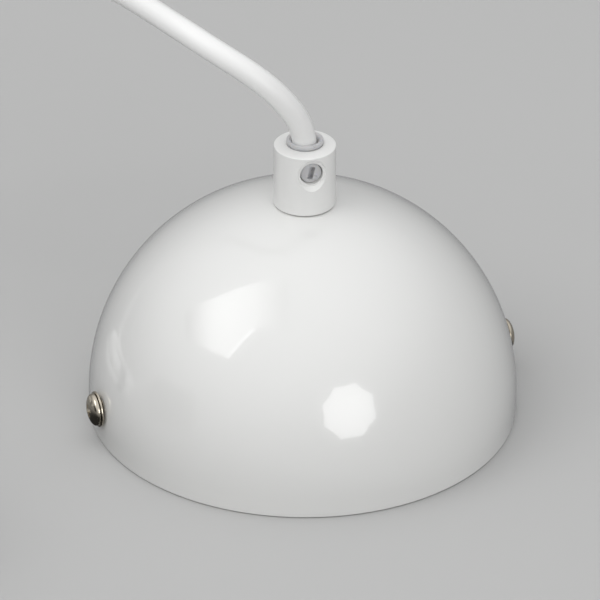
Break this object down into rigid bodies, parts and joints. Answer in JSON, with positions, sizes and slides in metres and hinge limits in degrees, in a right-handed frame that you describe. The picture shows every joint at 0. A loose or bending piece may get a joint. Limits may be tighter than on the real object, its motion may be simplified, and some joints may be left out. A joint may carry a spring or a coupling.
{
  "type": "pendant lamp canopy",
  "caption": "White hemispherical ceiling canopy with side-screwed strap bracket, terminal block, top cord grip, round white flex and threaded lampholder.",
  "frame": {"origin": "centre of the canopy's rim plane, which is the ceiling plane", "axes": "+Z from the ceiling plane to the cord grip; +X along the two side screws, towards the right one"},
  "size_m": [0.2103, 0.1587, 0.0991],
  "materials": {
    "white_gloss_paint": "gloss white paint on pressed steel",
    "white_satin_paint": "satin white paint on turned metal",
    "clear_plastic": "translucent grey-white plastic",
    "white_pvc": "smooth white PVC flex",
    "nickel": "warm nickel plate",
    "zinc": "zinc-plated steel",
    "brass": "plain brass",
    "aluminium": "pressed aluminium",
    "tinned": "tinned copper",
    "nylon": "natural nylon",
    "black_plastic": "black thermoplastic",
    "brown_core": "brown core insulation",
    "blue_core": "blue core insulation",
    "earth_core": "green and yellow core insulation",
    "ceramic": "unglazed porcelain",
    "tie_black": "black hook-and-loop tie"
  },
  "bodies": {
    "canopy": {"canopy_shell": "white_gloss_paint", "cord_grip_body": "white_satin_paint", "grip_bush": "clear_plastic", "threaded_nipple": "zinc", "lock_washer": "zinc", "lock_nut": "zinc", "mounting_bracket": "zinc", "terminal_housing": "nylon", "terminal_insert_neutral": "brass", "terminal_insert_live": "brass", "terminal_insert_spare": "brass", "block_fixing_screw_a": "zinc", "block_fixing_screw_b": "zinc", "earth_lug": "tinned", "earth_washer": "tinned", "flex_in_grip": "white_pvc", "core_neutral": "blue_core", "core_live": "brown_core", "core_earth": "earth_core", "ferrule_neutral": "tinned", "ferrule_live": "tinned", "flex_free_run": "white_pvc", "flex_coil": "white_pvc", "flex_tail": "white_pvc", "coil_tie": "tie_black", "lampholder_skirt": "black_plastic", "lampholder_cap": "black_plastic", "lampholder_screw_shell": "aluminium", "lampholder_insert": "ceramic", "lampholder_cord_gland": "black_plastic"},
    "grip_set_screw": {"grip_set_screw": "clear_plastic"},
    "left_washer": {"left_side_washer": "nickel"},
    "left_screw": {"left_side_screw": "nickel"},
    "right_washer": {"right_side_washer": "nickel"},
    "right_screw": {"right_side_screw": "nickel"},
    "earth_screw": {"earth_screw": "brass"},
    "shade_ring": {"lampholder_shade_ring": "black_plastic"},
    "centre_contact": {"lampholder_centre_contact": "brass"},
    "clamp_neutral_lamp": {"clamp_screw_neutral_lamp": "zinc"},
    "clamp_neutral_mains": {"clamp_screw_neutral_mains": "zinc"},
    "clamp_live_lamp": {"clamp_screw_live_lamp": "zinc"},
    "clamp_live_mains": {"clamp_screw_live_mains": "zinc"},
    "clamp_spare_lamp": {"clamp_screw_spare_lamp": "zinc"},
    "clamp_spare_mains": {"clamp_screw_spare_mains": "zinc"}
  },
  "joints": [
    {"name": "left_washer_travel", "type": "slide", "parent": "canopy", "child": "left_washer", "axis": [-1, 0, 0], "range_m": [0, 0.0056]},
    {"name": "left_screw_turn", "type": "hinge", "parent": "left_washer", "child": "left_screw", "pos_m": [-0.0509, 0, 0.0085], "axis": [-1, 0, 0], "range_deg": [0, 2884]},
    {"name": "right_washer_travel", "type": "slide", "parent": "canopy", "child": "right_washer", "axis": [1, 0, 0], "range_m": [0, 0.0056]},
    {"name": "right_screw_turn", "type": "hinge", "parent": "right_washer", "child": "right_screw", "pos_m": [0.0509, 0, 0.0085], "axis": [1, 0, 0], "range_deg": [0, 2884]},
    {"name": "grip_set_screw_travel", "type": "slide", "parent": "canopy", "child": "grip_set_screw", "axis": [-0.0958, -0.9954, 0], "range_m": [0, 0.002]},
    {"name": "clamp_neutral_lamp_travel", "type": "slide", "parent": "canopy", "child": "clamp_neutral_lamp", "axis": [0, 0, 1], "range_m": [0, 0.0015]},
    {"name": "clamp_neutral_mains_travel", "type": "slide", "parent": "canopy", "child": "clamp_neutral_mains", "axis": [0, 0, 1], "range_m": [0, 0.0015]},
    {"name": "clamp_live_lamp_travel", "type": "slide", "parent": "canopy", "child": "clamp_live_lamp", "axis": [0, 0, 1], "range_m": [0, 0.0015]},
    {"name": "clamp_live_mains_travel", "type": "slide", "parent": "canopy", "child": "clamp_live_mains", "axis": [0, 0, 1], "range_m": [0, 0.0015]},
    {"name": "clamp_spare_lamp_travel", "type": "slide", "parent": "canopy", "child": "clamp_spare_lamp", "axis": [0, 0, 1], "range_m": [0, 0.0015]},
    {"name": "clamp_spare_mains_travel", "type": "slide", "parent": "canopy", "child": "clamp_spare_mains", "axis": [0, 0, 1], "range_m": [0, 0.0015]},
    {"name": "earth_screw_travel", "type": "slide", "parent": "canopy", "child": "earth_screw", "axis": [1, 0, 0], "range_m": [0, 0.003]},
    {"name": "shade_ring_travel", "type": "slide", "parent": "canopy", "child": "shade_ring", "axis": [0, -0.9918, 0.128], "range_m": [0, 0.009]},
    {"name": "centre_contact_press", "type": "slide", "parent": "canopy", "child": "centre_contact", "axis": [0, 0.9918, -0.128], "range_m": [0, 0.0012], "stiffness_N_per_m": 400}
  ],
  "couplings": [
    {"joint": "left_screw_turn", "follows": "left_washer_travel", "rad_per_m": 8976},
    {"joint": "right_screw_turn", "follows": "right_washer_travel", "rad_per_m": 8976}
  ]
}
